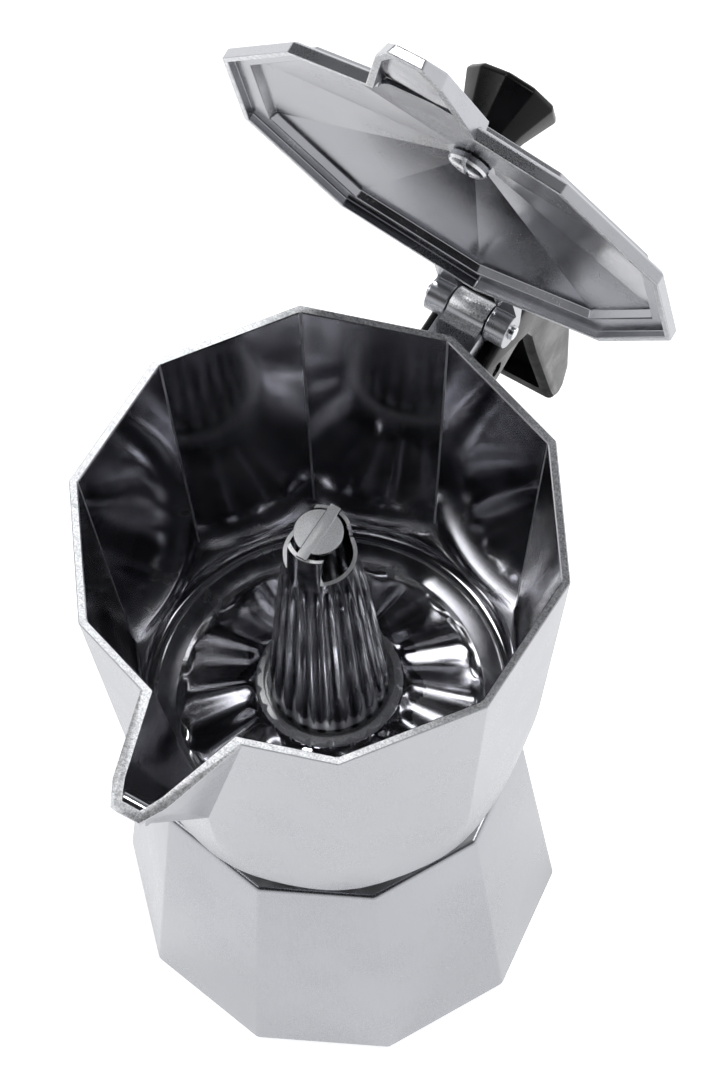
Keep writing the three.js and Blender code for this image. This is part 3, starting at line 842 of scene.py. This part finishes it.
def lid_beak():
    root, shoulder, tip = SPOUT_ROOT, SPOUT_SHOULDER, SPOUT_TIP
    return soften(hull(mirrored([
        (-47, root[1] + 1.2, LID_Z), (-47, root[1], LID_Z + 6),
        (-shoulder[0] - 0.4, shoulder[1] + 1.2, LID_Z), (-shoulder[0], shoulder[1] + 0.4, LID_Z + 4),
        (-tip[0] - 1.2, tip[1] + 0.6, LID_Z), (-tip[0] - 0.6, tip[1], LID_Z + 2.6),
    ])), 0.35, 8)


def beak_hollow():
    root, shoulder, tip = SPOUT_ROOT, SPOUT_SHOULDER, SPOUT_TIP
    return hull(mirrored([
        (-45, root[1], LID_Z - 1), (-shoulder[0] + 0.2, shoulder[1] - 0.2, LID_Z - 1),
        (-tip[0] + 0.1, tip[1] - 0.7, LID_Z - 1), (-45, root[1] - 1.2, LID_Z + 4.6),
        (-shoulder[0] + 0.6, shoulder[1] - 0.9, LID_Z + 2.6), (-tip[0] + 0.7, tip[1] - 1.2, LID_Z + 1.3),
    ]))


def lid_ear(low, high):
    arm = plate([
        (50.5, LID_Z + 0.3), (59.8, LID_Z + 0.3), (HINGE_X - 2.8, HINGE_Z), (HINGE_X + 2.8, HINGE_Z + 2.8),
        (HINGE_X, HINGE_Z + KNUCKLE_R), (57, LID_Z + 4), (50.5, LID_Z + 4),
    ], low, high)
    barrel = rod(KNUCKLE_R, (HINGE_X, low, HINGE_Z), (HINGE_X, high, HINGE_Z), 128)
    rebate = turned([(LID_R - 1.2, LID_Z - 2), (LID_R - 1.2, LID_Z + 2)], SIDES)
    return join(cut(arm, rebate), soften(barrel, 0.25, segments=4))


def lid_finish(place, normal):
    """Satin above, ground along the lower edge and polished underneath."""
    if place.z < LID_Z + 0.1 and normal.z < -0.8:
        return 1
    radius = math.hypot(place.x, place.y)
    under_beak = place.x < -46 and normal.z < -0.1 and place.z > LID_Z + 1
    facing_in = normal.x * place.x + normal.y * place.y < -0.1 * radius
    under_dome = radius < LID_R - 0.5 and (normal.z < -0.1 or facing_in) and place.x < 53
    return 2 if under_dome or under_beak else 0


def make_lid():
    edge = LID_R - 1.5
    shell = turned([
        (6, LID_Z + 10.2), (48.4, LID_Z + 3.9), (49.4, LID_Z + 2), (edge, LID_Z + 1.8), (edge, LID_Z),
        (LID_R, LID_Z), (LID_R, LID_Z + 2.6), (LID_R - 1, LID_Z + 3.3), (50.4, LID_Z + 3.6),
        (49.4, LID_Z + 5.4), (6, LID_Z + 10.2 + LID_T),
    ], SIDES)
    soften(shell, 0.22, 9)
    dome = turned([
        (edge + 0.5, LID_Z - 2), (edge + 0.5, LID_Z + 2.2), (49.9, LID_Z + 2.4), (48.9, LID_Z + 4.4),
        (6, LID_Z + 10.8),
    ], SIDES)
    join(shell, cut(lid_beak(), dome), lid_ear(EAR_IN, EAR_OUT), lid_ear(-EAR_OUT, -EAR_IN))
    cut(shell, beak_hollow())
    cut(shell, rod(2.4, (0, 0, LID_Z), (0, 0, LID_Z + 20)))
    cut(shell, rod(HINGE_HOLE_R, (HINGE_X, -12, HINGE_Z), (HINGE_X, 12, HINGE_Z)))
    finish(shell, "lid_plate", "lid_body", "lid",
           [SATIN, GROUND, LID_INSIDE], lid_finish, SWING, 4)


KNOB_Z = LID_Z + 10.2 + LID_T + 0.3


def make_knob():
    low = KNOB_Z
    grip = turned([
        (6.6, low), (6.4, low + 3), (7.6, low + 7), (11, low + 14.6), (10.4, low + 15.8), (7, low + 16.8),
        (1, low + 17.2),
    ], SIDES)
    soften(grip, 0.35, 12, 3)
    cut(grip, rod(2.3, (0, 0, low - 1), (0, 0, low + 11)))
    finish(grip, "knob_grip", "lid_body", "knob", [BAKELITE], swing=SWING)


def make_knob_screw():
    head = LID_Z + 10.2 - 0.3
    screw = turned([(3.4, head - 2.2), (4.2, head - 1.9), (4.6, head - 1.3), (4.6, head)], 64)
    soften(screw, 0.2, 40)
    join(screw, rod(2, (0, 0, head - 1), (0, 0, KNOB_Z + 10.4)))
    cut(screw, box((-6, -0.5, head - 3), (6, 0.5, head - 1.2)))
    finish(screw, "lid_screw", "lid_body", "knob_screw", [STEEL], swing=SWING)


make_lid()
make_knob()
make_knob_screw()

# ---------- handle and pins ----------

def handle_finish(place, normal):
    """Matt on the side that faces the pot and in the pocket."""
    in_pocket = abs(place.y) < POCKET_HALF + 0.3 and place.x < 86
    return 1 if normal.x < -0.4 or in_pocket else 0


def make_handle():
    arm = plate([
        (53, 164.6), (84, 166.4), (87.6, 165.2), (89.6, 161.5), (90.2, 126), (89.4, 110), (87, 104.6),
        (84.2, 103.2), (81.4, 105.4), (79.8, 111.5), (74.3, 138), (72.6, 148), (70.8, 152.2), (67.5, 154),
        (60, 152), (53, 150.3),
    ], -HANDLE_HALF, HANDLE_HALF)
    apply(arm, "BEVEL", width=1.6 * MM, segments=4, limit_method="ANGLE", angle_limit=math.radians(60))
    cut(arm, box((49, -FORK_HALF, 140), (66.5, FORK_HALF, 172)))
    cut(arm, turned([(corner_line(140) + 0.5, 140), (corner_line(172) + 0.5, 172)], SIDES))
    cut(arm, rod(KNUCKLE_R + 0.6, (HINGE_X, -14, HINGE_Z), (HINGE_X, 14, HINGE_Z), 64))
    cut(arm, rod(PIN_HOLE_R, (PIN_X, -14, PIN_Z), (PIN_X, 14, PIN_Z)))
    pocket = plate([
        (60, 150), (69, 156), (80, 156), (84, 150), (85.2, 118), (84.4, 111.5), (70, 111.5), (60, 130),
    ], -POCKET_HALF, POCKET_HALF)
    cut(arm, soften(pocket, 1.2, 40, 3))
    finish(arm, "handle_grip", "collector_body", "handle", [BAKELITE, DULL_BLACK], handle_finish)


def pin(name, node, radius, half, x, z):
    bar = soften(rod(radius, (x, -half, z), (x, half, z)), 0.3)
    finish(bar, name, "collector_body", node, [STEEL])


make_handle()
pin("hinge_rod", "hinge_pin", 1.6, EAR_OUT + 1, HINGE_X, HINGE_Z)
pin("handle_rod", "handle_pin", 1.5, HANDLE_HALF - 0.6, PIN_X, PIN_Z)

# ---------- boiler ----------

def boiler_flat(height):
    """Distance from the axis to the middle of a boiler facet."""
    share = (height - 1.2) / (SHOULDER_Z - 1.2)
    return math.cos(math.radians(HALF_FACET)) * (BASE_R + (SHOULDER_R - BASE_R) * share)


VALVE_TILT = math.atan2(boiler_flat(0) - boiler_flat(SHOULDER_Z), SHOULDER_Z)
VALVE_FRAME = (Matrix.Rotation(math.radians(VALVE_AZIMUTH), 4, "Z")
               @ Matrix.Translation(Vector((boiler_flat(VALVE_Z), 0, VALVE_Z)) * MM)
               @ Matrix.Rotation(math.radians(90) - VALVE_TILT, 4, "Y"))


def at_valve(piece):
    """Moves a piece drawn on the Z axis to the valve's place on the boiler."""
    piece.matrix_world = VALVE_FRAME
    return settle(piece)


def thread(root, crest, heights):
    """Ridges of a screw thread."""
    ridges = []
    for z in heights:
        ridge = [(root, z - 0.7), (crest, z - 0.25), (crest, z + 0.25), (root, z + 0.7),
                 (root - 1, z + 0.7), (root - 1, z - 0.7)]
        ridges.append(turned(ridge, 96, ring=True))
    return ridges


def boiler_finish(place, normal):
    radius = math.hypot(place.x, place.y)
    inward = normal.x * place.x + normal.y * place.y < -0.2 * radius
    if radius < 45 and (inward or normal.z > 0.5) and 3 < place.z < SHOULDER_Z - 3 or radius < NECK_R - 0.7:
        return 1
    return 0


def make_boiler():
    pot = turned([
        (BASE_R - 1, 0), (BASE_R, 1.2), (SHOULDER_R, SHOULDER_Z), (SHOULDER_R - 0.9, SHOULDER_Z + 1),
    ], SIDES, BOILER_TURN)
    soften(pot, 0.5, 20, 3)
    neck = turned([(NECK_R, 60), (NECK_R, NECK_Z - 0.6), (NECK_R - 0.6, NECK_Z)], 128)
    join(pot, neck, *thread(NECK_R - 0.3, THREAD_R, [SHOULDER_Z + 3.9 + 2 * k for k in range(4)]))
    join(pot, at_valve(soften(rod(8.2, (0, 0, -2), (0, 0, 1)), 0.3)))
    hollow = turned([
        (42.5, 3.2), (44.2, 5), (38, 64.5), (36.5, 67.5), (MOUTH_R + 0.6, 72.5), (MOUTH_R, 74),
        (MOUTH_R, 81.1), (33.2, 81.1), (33.2, NECK_Z + 2),
    ], 128)
    cut(pot, hollow, at_valve(rod(5, (0, 0, -9), (0, 0, 4))))
    finish(pot, "boiler_pot", "boiler_body", "boiler", [SATIN, DULL], boiler_finish)


make_boiler()

# ---------- pieces inside ----------

def perforated(radius, low, thickness, rings, spacing, hole):
    """A disc with round holes on circles of 6, 12, 18 and so on."""
    disc = turned([(radius, low), (radius, low + thickness)], 96)
    punches = [rod(hole, (0, 0, low - 1), (0, 0, low + thickness + 1), 10)]
    for ring in range(1, rings + 1):
        for step in range(6 * ring):
            turn = 2 * math.pi * step / (6 * ring)
            x, y = ring * spacing * math.cos(turn), ring * spacing * math.sin(turn)
            punches.append(rod(hole, (x, y, low - 1), (x, y, low + thickness + 1), 10))
    deselect()
    for punch in punches:
        punch.select_set(True)
    bpy.context.view_layer.objects.active = punches[0]
    bpy.ops.object.join()
    return cut(disc, punches[0])


def make_filter():
    finish(perforated(PLATE_R, SEAT_Z, 0.8, 6, 4.2, 0.8), "filter_disc", "seal_body", "filter_plate",
           [SHEET])
    finish(perforated(28, 53.8, 0.8, 6, 3.9, 0.8), "funnel_strainer", "funnel_body", "funnel_sieve",
           [SHEET])


make_filter()

for node, skin in {
    "valve_body": BRASS, "valve_poppet": BRASS, "valve_retainer": BRASS, "valve_spring": STEEL,
    "funnel_cup": SHEET, "funnel_tube": SHEET, "gasket": RUBBER,
}.items():
    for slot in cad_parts[node].material_slots:
        slot.material = skin

# ---------- camera, floor and light ----------

CAMERA_AT = (-0.57782, -0.41058, 1.57967)
CAMERA_AZIMUTH, CAMERA_ELEVATION, CAMERA_ROLL = 34.686, 63.385, -3.507
LENS = 247.30


def place_camera():
    data = bpy.data.cameras.new("view")
    data.lens = LENS
    data.sensor_width = 36
    data.clip_end = 20
    camera = bpy.data.objects.new("view", data)
    bpy.context.collection.objects.link(camera)
    azimuth, elevation, roll = (math.radians(a) for a in (CAMERA_AZIMUTH, CAMERA_ELEVATION, CAMERA_ROLL))
    ahead = Vector((math.cos(elevation) * math.cos(azimuth), math.cos(elevation) * math.sin(azimuth),
                    -math.sin(elevation)))
    right = Vector((math.sin(azimuth), -math.cos(azimuth), 0))
    up = right.cross(ahead)
    turned_right = math.cos(roll) * right + math.sin(roll) * up
    turned_up = math.cos(roll) * up - math.sin(roll) * right
    turn = Matrix((turned_right, turned_up, -ahead)).transposed()
    camera.matrix_world = Matrix.Translation(CAMERA_AT) @ turn.to_4x4()
    bpy.context.scene.camera = camera


def lay_floor():
    deselect()
    bpy.ops.mesh.primitive_circle_add(vertices=96, radius=6, fill_type="NGON", location=(0, 0, -0.0004))
    floor = settle(bpy.context.object)
    floor.name = "studio_floor"
    skin = Finish("white_floor", 0, 0.9, (0.92, 0.92, 0.92))
    skin.shader.inputs["Emission Color"].default_value = (1, 1, 1, 1)
    skin.shader.inputs["Emission Strength"].default_value = 0.75
    floor.data.materials.append(skin.material)


def light(name, place, size, power):
    data = bpy.data.lights.new(name, "AREA")
    data.shape = "RECTANGLE"
    data.size, data.size_y = size
    data.energy = power
    lamp = bpy.data.objects.new(name, data)
    bpy.context.collection.objects.link(lamp)
    aim = Vector((0, 0, 0.12)) - Vector(place)
    lamp.matrix_world = Matrix.Translation(place) @ aim.to_track_quat("-Z", "Y").to_matrix().to_4x4()


def sky():
    """Bright at the horizon and dim overhead, so that flat tops and hollows read dark."""
    world = bpy.data.worlds.new("studio")
    world.use_nodes = True
    bpy.context.scene.world = world
    nodes, links = world.node_tree.nodes, world.node_tree.links
    place = nodes.new("ShaderNodeTexCoord")
    split = nodes.new("ShaderNodeSeparateXYZ")
    ramp = nodes.new("ShaderNodeValToRGB")
    stops = ramp.color_ramp.elements
    stops[0].position, stops[0].color = 0.25, (1, 1, 1, 1)
    stops[1].position, stops[1].color = 0.5, (0.01, 0.01, 0.012, 1)
    links.new(place.outputs["Generated"], split.inputs["Vector"])
    links.new(split.outputs["Z"], ramp.inputs["Fac"])
    links.new(ramp.outputs["Color"], nodes["Background"].inputs["Color"])
    nodes["Background"].inputs["Strength"].default_value = 1.0


place_camera()
lay_floor()
light("soft_left", (-0.55, 1.2, 1.75), (0.7, 0.7), 9)
light("soft_right", (0.95, -0.95, 1.75), (0.7, 0.7), 9)
light("soft_back", (1.1, 0.75, 2.1), (0.35, 0.35), 13)
sky()
bpy.context.scene.view_settings.view_transform = "Standard"
